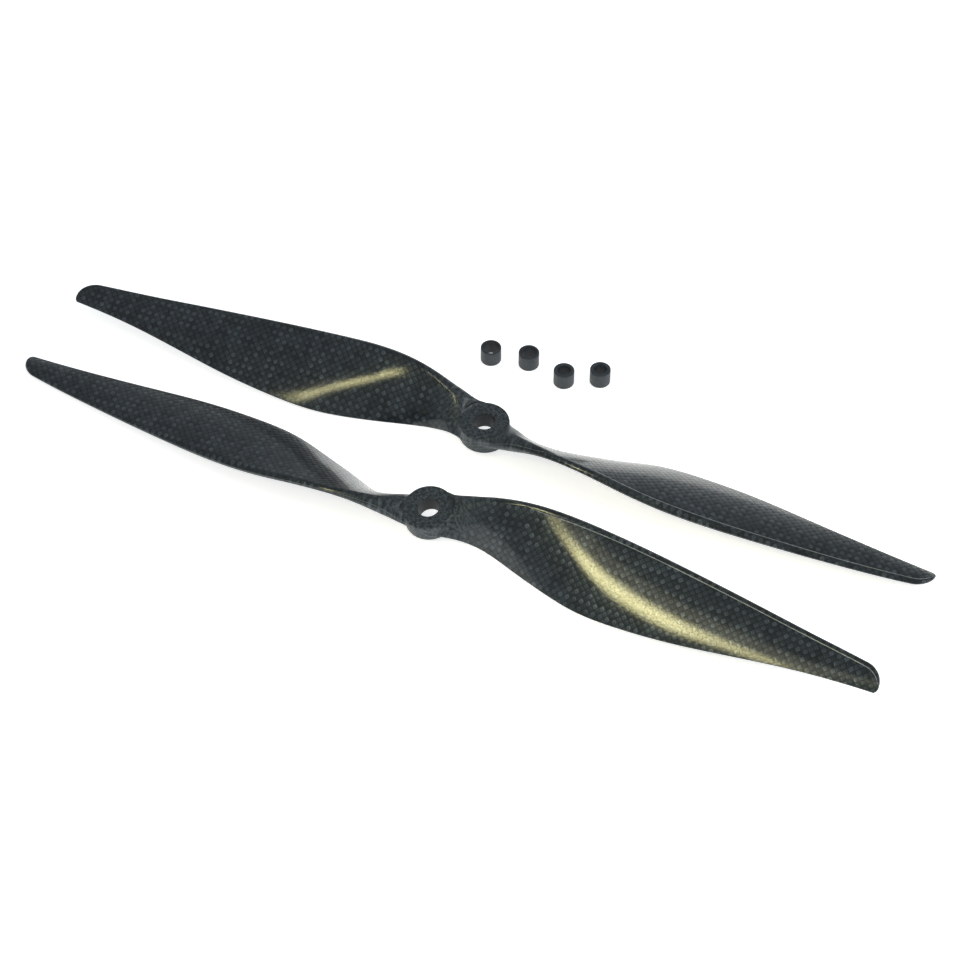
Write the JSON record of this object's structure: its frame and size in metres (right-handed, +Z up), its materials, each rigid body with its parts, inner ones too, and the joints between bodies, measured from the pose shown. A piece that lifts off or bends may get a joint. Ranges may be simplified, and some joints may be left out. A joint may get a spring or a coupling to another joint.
{
  "type": "propeller set",
  "caption": "Matched clockwise and counter-clockwise carbon-fibre propellers with bored disc hubs and slim twisted blades, and loose adapter rings that reduce the bore.",
  "frame": {"origin": "on the table plane, under the middle of the set's box", "axes": "+Z up, +X along the clockwise propeller, -Y towards the counter-clockwise propeller in front of it"},
  "size_m": [0.3558, 0.1154, 0.0219],
  "materials": {
    "carbon_weave": "plain-weave carbon laminate under a gloss clear coat",
    "clear_resin": "cured resin line, slightly paler than the skins",
    "solid_carbon": "pressed chopped carbon, satin, drilled through",
    "carbon_tow": "straight carbon tow, satin",
    "foam": "rigid foam, matt, inside the blades",
    "ring_plastic": "moulded nylon, satin, dark blue-grey"
  },
  "bodies": {
    "cw_propeller": {"cw_upper_skin": "carbon_weave", "cw_lower_skin": "carbon_weave", "cw_glue_line": "clear_resin", "cw_root_block": "solid_carbon", "cw_spar_a": "carbon_tow", "cw_spar_b": "carbon_tow", "cw_foam_core_a": "foam", "cw_foam_core_b": "foam"},
    "ccw_propeller": {"ccw_upper_skin": "carbon_weave", "ccw_lower_skin": "carbon_weave", "ccw_glue_line": "clear_resin", "ccw_root_block": "solid_carbon", "ccw_spar_a": "carbon_tow", "ccw_spar_b": "carbon_tow", "ccw_foam_core_a": "foam", "ccw_foam_core_b": "foam"},
    "ring_a": {"adapter_ring_a": "ring_plastic"},
    "ring_b": {"adapter_ring_b": "ring_plastic"},
    "ring_c": {"adapter_ring_c": "ring_plastic"},
    "ring_d": {"adapter_ring_d": "ring_plastic"}
  },
  "joints": [
    {"name": "ccw_lift", "type": "slide", "parent": "cw_propeller", "child": "ccw_propeller", "axis": [0, 0, 1], "range_m": [0, 0.06]},
    {"name": "ring_a_lift", "type": "slide", "parent": "cw_propeller", "child": "ring_a", "axis": [0, 0, 1], "range_m": [0, 0.04]},
    {"name": "ring_b_lift", "type": "slide", "parent": "cw_propeller", "child": "ring_b", "axis": [0, 0, 1], "range_m": [0, 0.04]},
    {"name": "ring_c_lift", "type": "slide", "parent": "cw_propeller", "child": "ring_c", "axis": [0, 0, 1], "range_m": [0, 0.04]},
    {"name": "ring_d_lift", "type": "slide", "parent": "cw_propeller", "child": "ring_d", "axis": [0, 0, 1], "range_m": [0, 0.04]}
  ]
}
